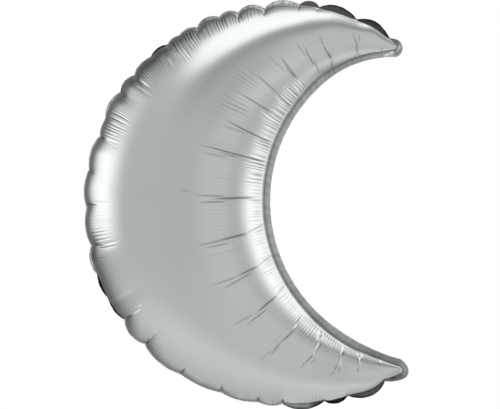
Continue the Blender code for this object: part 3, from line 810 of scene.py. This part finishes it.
def neck_film_points(side):
    """Grid of points of one film of the neck, in its own frame: a puffed channel, flat margins."""
    along = np.linspace(NECK_START, NECK_LENGTH, NECK_ROWS)[:, None]
    across = np.linspace(-NECK_WIDTH / 2, NECK_WIDTH / 2, NECK_COLUMNS)[None]
    inside = np.sqrt(np.maximum(0, 1 - (across / (NECK_WIDTH / 2 - NECK_MARGIN)) ** 2))
    mouth = 0.75 + 0.25 * ramp(NECK_LENGTH, 0.8 * NECK_LENGTH, along)
    taper = ramp(NECK_START, NECK_PUFFED, along) * mouth
    puff = (NECK_THICKNESS / 2 - NECK_CLEAR) * inside * taper
    crinkle = 0.22 * wander(along + 0.4 * across, 4 * MM, 81 + side)
    crinkle = crinkle + 0.18 * wander(along - 0.7 * across, 3 * MM, 84)
    crinkle = crinkle + 0.12 * wander(2.0 * across + 0.3 * along, 3.2 * MM, 87)
    crinkle = 0.9 * crinkle * MM * (0.3 + 0.7 * inside) * ramp(0, 0.004, puff + 0.001)
    thick = NECK_FLAT + puff + np.maximum(0, crinkle)
    edge = 1 + 0.012 * wander(along, 7 * MM, 91)
    return np.stack([along + 0 * across, side * thick, across * edge], -1)


def place(points, matrix):
    """Points carried by a matrix."""
    turned = np.array(matrix)
    return points @ turned[:3, :3].T + turned[:3, 3]


def sheet_of(name, points, thickness, material):
    """A sheet over a grid of points, given its thickness for good."""
    sheet = mesh_of_grid(name, points)
    shell = sheet.modifiers.new("thickness", "SOLIDIFY")
    shell.thickness = thickness
    shell.offset = 0
    graph = bpy.context.evaluated_depsgraph_get()
    sheet.data = bpy.data.meshes.new_from_object(sheet.evaluated_get(graph))
    sheet.modifiers.clear()
    sheet.data.shade_smooth()
    sheet.data.materials.append(material)
    return sheet


def make_fold_film(hinge, material):
    """The film from behind the border's edge to the neck."""
    out = np.array((math.cos(NECK_ANGLE), 0, math.sin(NECK_ANGLE)))
    turn = np.array(hinge.translation)
    start = turn - NECK_HINGE_GAP * out - np.array((0, FOLD_OVERLAP, 0))
    end = turn + 1.15 * NECK_START * np.array(hinge.col[0][:3])
    across = np.linspace(-FOLD_WIDTH / 2, FOLD_WIDTH / 2, 40)[None]
    run = np.linspace(0, 1, 25)[:, None]
    crinkle = 0.15 * MM * wander(across + 2 * MM * run, 2.5 * MM, 97) * np.sin(np.pi * run)
    width = (across + 0 * run)[..., None] * np.array(hinge.col[2][:3])
    points = start + run[..., None] * (end - start) + crinkle[..., None] * out + width
    film = sheet_of("neck_fold_film", points, FILM_THICKNESS, material)
    begin, finish = start + 0.25 * (end - start), start + 0.8 * (end - start)
    tuple(begin)
    tuple(finish)
    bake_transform(film)


def make_neck(material, sleeve_material):
    """The neck's two films, the film at its fold and the sleeve inside it."""
    hinge = neck_frame()
    sheets = ("neck_front_sheet", 1, "neck_front_film"), ("neck_back_sheet", -1, "neck_back_film")
    for name, side, node in sheets:
        film = sheet_of(name, place(neck_film_points(side), hinge), FILM_THICKNESS, material)
        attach(film, "fill_neck")
        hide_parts(node)
    make_fold_film(hinge, material)
    along = np.linspace(SLEEVE_START, SLEEVE_LENGTH, 60)[:, None]
    across = np.linspace(-SLEEVE_WIDTH / 2, SLEEVE_WIDTH / 2, 24)[None]
    wave = 0.10 * wander(along + 0.3 * across, 6 * MM, 95) * MM
    points = np.stack([along + 0 * across, wave, across + 0 * along], -1)
    sleeve = sheet_of("valve_sleeve_film", place(points, hinge), SLEEVE_THICKNESS, sleeve_material)
    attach(sleeve, "fill_neck")
    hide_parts("valve_sleeve")


# Materials


class Nodes:
    """Short hand for building a node tree."""

    def __init__(self, tree):
        self.tree = tree

    def add(self, kind, **settings):
        """A new node, with properties by name and inputs by number."""
        node = self.tree.nodes.new("ShaderNode" + kind)
        for name, value in settings.items():
            if name.startswith("in_"):
                node.inputs[int(name[3:])].default_value = value
            else:
                setattr(node, name, value)
        return node

    def link(self, source, target):
        self.tree.links.new(source, target)

    def math(self, operation, *values):
        """An operation on numbers or sockets."""
        node = self.add("Math", operation=operation)
        for value, target in zip(values, node.inputs):
            if isinstance(value, float):
                target.default_value = value
            else:
                self.link(value, target)
        return node.outputs[0]

    def span(self, value, low, high, to_low=0.0, to_high=1.0):
        """A value carried smoothly from one span to another."""
        node = self.add("MapRange", interpolation_type="SMOOTHSTEP")
        self.link(value, node.inputs["Value"])
        for key, number in (("From Min", low), ("From Max", high), ("To Min", to_low), ("To Max", to_high)):
            node.inputs[key].default_value = number
        return node.outputs[0]

    def noise(self, place_at, scale, detail=2.0):
        node = self.add("TexNoise", in_2=scale, in_3=detail)
        self.link(place_at, node.inputs[0])
        return node.outputs[0]

    def mix(self, factor, first, second):
        """A colour between two, each a socket or three numbers."""
        node = self.add("Mix", data_type="RGBA")
        self.link(factor, node.inputs[0])
        for target, value in ((node.inputs[6], first), (node.inputs[7], second)):
            if isinstance(value, tuple):
                target.default_value = (*value, 1)
            else:
                self.link(value, target)
        return node.outputs[2]

    def scaled(self, colour, factor):
        """A colour made lighter or darker by a factor."""
        node = self.add("VectorMath", operation="SCALE")
        self.link(colour, node.inputs[0])
        self.link(factor, node.inputs["Scale"])
        return node.outputs[0]

    def dot(self, direction, vector):
        node = self.add("VectorMath", operation="DOT_PRODUCT", in_1=vector)
        self.link(direction, node.inputs[0])
        return node.outputs["Value"]


def new_material(name):
    """A material, its nodes, its shader and the place on the object that its patterns start from."""
    material = bpy.data.materials.new(name)
    material.use_nodes = True
    nodes = Nodes(material.node_tree)
    place_at = nodes.add("TexCoord").outputs["Object"]
    return material, nodes, material.node_tree.nodes["Principled BSDF"], place_at


def sealing_hatch(nodes, place_at):
    """The two crossed waves of the sealing texture."""
    for slope in (1, -1):
        wave = nodes.add("TexWave", in_1=260.0, in_2=1.2, in_3=1.0)
        turned = nodes.add("Mapping", vector_type="POINT")
        turned.inputs["Rotation"].default_value = (0.0, radians(45 * slope), 0.0)
        nodes.link(place_at, turned.inputs[0])
        nodes.link(turned.outputs[0], wave.inputs[0])
        yield wave.outputs[1]


def film_material(name, colour, roughness, grain, hatch=0.0, painted_shading=True):
    """Satin metallised film: fine grain, the painted shade and highlights of each point where asked, a fine
    cross-hatch where sealed.
    """
    material, nodes, shader, place_at = new_material(name)
    shader.inputs["Metallic"].default_value = 1.0
    dim, bright = (tuple(min(1, c * part) for c in colour) for part in (0.975, 1.02))
    base = nodes.mix(nodes.noise(place_at, 14.0, 3.0), dim, bright)
    if painted_shading:
        # The colour scaled by each point's painted shade and highlights
        base = nodes.scaled(base, nodes.add("Attribute", attribute_name="shade").outputs["Fac"])
    speck = nodes.noise(place_at, 900.0)
    rough = nodes.span(speck, 0.3, 0.7, roughness * 0.9, roughness * 1.1)
    nodes.link(rough, shader.inputs["Roughness"])
    height = nodes.math("MULTIPLY", speck, 0.4)
    if hatch:
        one, other = sealing_hatch(nodes, place_at)
        for wave in (one, other):
            height = nodes.math("ADD", height, nodes.math("MULTIPLY", wave, hatch))
        weave = nodes.math("MULTIPLY", one, other)
        base = nodes.scaled(base, nodes.span(weave, 0.0, 0.6, 0.8, 1.1))
    nodes.link(base, shader.inputs["Base Color"])
    bump = nodes.add("Bump")
    bump.inputs["Strength"].default_value = grain
    bump.inputs["Distance"].default_value = 0.0002
    nodes.link(height, bump.inputs["Height"])
    nodes.link(bump.outputs[0], shader.inputs["Normal"])
    return material


def sleeve_material():
    """Clear valve film."""
    material, nodes, shader, place_at = new_material("clear_valve_film")
    shader.inputs["Base Color"].default_value = (0.86, 0.88, 0.90, 1)
    shader.inputs["Alpha"].default_value = 0.45
    nodes.link(nodes.span(nodes.noise(place_at, 300.0), 0.3, 0.7, 0.1, 0.25), shader.inputs["Roughness"])
    return material


# Studio, by azimuth (0 towards the camera, positive to the right) and elevation. Each softbox: azimuth,
# elevation, half width, half height, soft edge across and up (all degrees), brightness, negative where dark.
SOFTBOXES = (
    (-87, 3.5, 29, 16.5, 40, 11, 0.75),
    (-80, 28, 28, 12, 28, 5, 0.25),
    (120, 12, 45, 33, 50, 50, 0.88),
    (150, 38, 22, 9, 18, 10, 0.42),
    (105, 67, 20, 9, 16, 12, 0.22),
    (26, 24.5, 26, 6.5, 16, 6, -0.21),
    (50, 35, 12, 6, 12, 8, -0.09),
    (-98, 52, 32, 16, 24, 16, -0.10),
    (-88, 44, 34, 4.5, 24, 5, -0.05),
    (-112, -26, 30, 13, 40, 20, -0.03),
    (0, -1, 3, 10, 8, 8, -0.045),
)
# The round reflector: azimuth and elevation, radius and soft edge (all degrees), brightness
GLOW_PLACE, GLOW_EDGE, GLOW_LIGHT = (19, 0), (17.5, 2), 0.08
# The oval light overhead, on the plane of a ceiling 1 above: centre, half sizes, turn, soft edge, brightness
OVERHEAD_CENTRE = (0.12, 0.84)
OVERHEAD_HALF = (0.56, 0.92)
OVERHEAD_TURN = radians(7.7)
OVERHEAD_EDGE = (0.68, 1.24)
OVERHEAD_LIGHT = 0.70
ROOM_FRONT = (0.500, 0.520, 0.511)
ROOM_BACK = (0.163, 0.167, 0.170)
CEILING = (0.43, 0.44, 0.445)
FLOOR_FRONT = (0.66, 0.685, 0.674)
FLOOR_BACK = (0.31, 0.32, 0.315)
LIGHT_TINT = (1.0, 1.0, 1.014)


def toward(azimuth, elevation):
    """Unit vector towards a place in the studio."""
    turn, rise = radians(azimuth), radians(elevation)
    return Vector((math.cos(rise) * math.sin(turn), -math.cos(rise) * math.cos(turn), math.sin(rise)))


def soft_edge(nodes, away, half, soft):
    """1 nearer than half an angle (degrees), fading to 0 over a soft edge."""
    return nodes.span(away, radians(half - soft / 2), radians(half + soft / 2), 1.0, 0.0)


def softbox_mask(nodes, direction, azimuth, elevation, half_width, half_height, soft_width, soft_height):
    """1 inside a softbox seen in a direction, fading to 0 over its soft edge."""
    aim, side = toward(azimuth, elevation), toward(azimuth + 90, 0)
    up = side.cross(aim)
    if up.z < 0:
        up.negate()
    ahead = nodes.dot(direction, aim)
    mask = nodes.span(ahead, 0.05, 0.15)
    for axis, half, soft in ((side, half_width, soft_width), (up, half_height, soft_height)):
        offset = nodes.math("ABSOLUTE", nodes.math("ARCTAN2", nodes.dot(direction, axis), ahead))
        mask = nodes.math("MULTIPLY", mask, soft_edge(nodes, offset, half, soft))
    return mask


def overhead_mask(nodes, parts):
    """1 inside the oval light overhead, worked out on the plane of the ceiling."""
    height = nodes.math("MAXIMUM", parts.outputs[2], 0.05)
    right = nodes.math("SUBTRACT", nodes.math("DIVIDE", parts.outputs[0], height), OVERHEAD_CENTRE[0])
    ahead = nodes.math("DIVIDE", nodes.math("MULTIPLY", parts.outputs[1], -1.0), height)
    ahead = nodes.math("SUBTRACT", ahead, OVERHEAD_CENTRE[1])
    cos, sin = math.cos(OVERHEAD_TURN), math.sin(OVERHEAD_TURN)
    across = nodes.math("ADD", nodes.math("MULTIPLY", right, cos), nodes.math("MULTIPLY", ahead, sin))
    along = nodes.math("SUBTRACT", nodes.math("MULTIPLY", ahead, cos), nodes.math("MULTIPLY", right, sin))
    squares = [
        nodes.math("POWER", nodes.math("DIVIDE", way, half), 2.0)
        for way, half in zip((across, along), OVERHEAD_HALF)
    ]
    return nodes.span(nodes.math("SQRT", nodes.math("ADD", *squares)), *OVERHEAD_EDGE, 1.0, 0.0)


def light_room(nodes, direction, parts, colour):
    """The room's colour in a direction, with each light added and each dark screen taken away."""
    lights = [(softbox_mask(nodes, direction, *box[:-1]), box[-1]) for box in SOFTBOXES]
    away = nodes.math("ARCCOSINE", nodes.dot(direction, toward(*GLOW_PLACE)))
    lights.append((soft_edge(nodes, away, *GLOW_EDGE), GLOW_LIGHT))
    lights.append((overhead_mask(nodes, parts), OVERHEAD_LIGHT))
    for mask, brightness in lights:
        add = nodes.add("Mix", data_type="RGBA", blend_type="ADD" if brightness > 0 else "SUBTRACT")
        nodes.link(mask, add.inputs[0])
        nodes.link(colour, add.inputs[6])
        add.inputs[7].default_value = (*(abs(brightness) * c for c in LIGHT_TINT), 1)
        colour = add.outputs[2]
    return colour


def make_world():
    """A white ground behind the balloon, and a studio in a grey room for what the film reflects."""
    world = bpy.data.worlds.new("studio")
    bpy.context.scene.world = world
    world.use_nodes = True
    world.node_tree.nodes.clear()
    nodes = Nodes(world.node_tree)
    direction = nodes.add("TexCoord").outputs["Generated"]
    parts = nodes.add("SeparateXYZ")
    nodes.link(direction, parts.inputs[0])
    front = nodes.span(parts.outputs[1], 0.75, -0.35)
    room = nodes.mix(front, ROOM_BACK, ROOM_FRONT)
    floor = nodes.mix(front, FLOOR_BACK, FLOOR_FRONT)
    room = nodes.mix(nodes.span(parts.outputs[2], 0.80, 0.99), room, CEILING)
    colour = nodes.mix(nodes.span(parts.outputs[2], -0.25, -0.62), room, floor)
    studio = nodes.add("Background")
    nodes.link(light_room(nodes, direction, parts, colour), studio.inputs[0])
    ground = nodes.add("Background", in_0=(1, 1, 1, 1))
    pick = nodes.add("MixShader")
    nodes.link(nodes.add("LightPath").outputs["Is Camera Ray"], pick.inputs[0])
    nodes.link(studio.outputs[0], pick.inputs[1])
    nodes.link(ground.outputs[0], pick.inputs[2])
    nodes.link(pick.outputs[0], nodes.add("OutputWorld").inputs[0])


FLOOR_DROP = 1.30
FLOOR_RADIUS = 1.60


def make_floor():
    """A pale floor well below the balloon, which fades out at its rim."""
    mesh = bmesh.new()
    bmesh.ops.create_circle(mesh, cap_ends=True, radius=FLOOR_RADIUS, segments=128)
    data = bpy.data.meshes.new("floor")
    mesh.to_mesh(data)
    mesh.free()
    floor = add_object("floor", data)
    floor.location.z = -FLOOR_DROP
    material, nodes, shader, place_at = new_material("pale_floor")
    shader.inputs["Roughness"].default_value = 0.9
    colour = nodes.mix(nodes.noise(place_at, 30.0), (0.92, 0.935, 0.92), (0.95, 0.965, 0.95))
    nodes.link(colour, shader.inputs["Base Color"])
    length = nodes.add("VectorMath", operation="LENGTH")
    nodes.link(place_at, length.inputs[0])
    fade = nodes.span(length.outputs["Value"], 0.35 * FLOOR_RADIUS, 0.98 * FLOOR_RADIUS, 1.0, 0.0)
    nodes.link(fade, shader.inputs["Alpha"])
    data.materials.append(material)


# Camera: level with the balloon and straight in front of it

PIXEL = 0.001434
CAMERA_DISTANCE = 2.99
SENSOR = 36.0
PHOTO_WIDTH = 500
CAMERA_ROLL = radians(0.9)
PHOTO_OUTER_CENTRE = (286.2, 204.4)
PHOTO_CENTRE = (250.0, 204.5)


def make_camera():
    """A camera whose view is as wide as the photograph at the balloon's distance."""
    right = Vector((math.cos(CAMERA_ROLL), 0, -math.sin(CAMERA_ROLL)))
    up = Vector((math.sin(CAMERA_ROLL), 0, math.cos(CAMERA_ROLL)))
    aim = Vector((OUTER_CENTRE[0], 0, OUTER_CENTRE[1]))
    aim += right * (PHOTO_CENTRE[0] - PHOTO_OUTER_CENTRE[0]) * PIXEL
    aim += up * (PHOTO_OUTER_CENTRE[1] - PHOTO_CENTRE[1]) * PIXEL
    data = bpy.data.cameras.new("camera")
    data.sensor_width = SENSOR
    data.lens = SENSOR * CAMERA_DISTANCE / (PHOTO_WIDTH * PIXEL)
    data.clip_start = 0.05
    camera = add_object("camera", data)
    turned = Matrix((right, up, right.cross(up))).transposed().to_4x4()
    camera.matrix_world = Matrix.Translation(aim - Vector((0, CAMERA_DISTANCE, 0))) @ turned
    bpy.context.scene.camera = camera


FILM_COLOUR = (0.812, 0.825, 0.818)
SEALED_COLOUR = (0.80, 0.825, 0.80)

bpy.context.scene.view_settings.view_transform = "Standard"
film = film_material("satin_film", FILM_COLOUR, 0.20, 0.05)
sealed = film_material("sealed_film", SEALED_COLOUR, 0.34, 0.5, hatch=0.5)
neck_film = film_material("neck_satin_film", FILM_COLOUR, 0.24, 0.15, painted_shading=False)
make_panel("front_film_panel", -1, "front_panel", film)
make_panel("back_film_panel", 1, "back_panel", film)
make_border(sealed)
make_neck(neck_film, sleeve_material())
make_world()
make_floor()
make_camera()
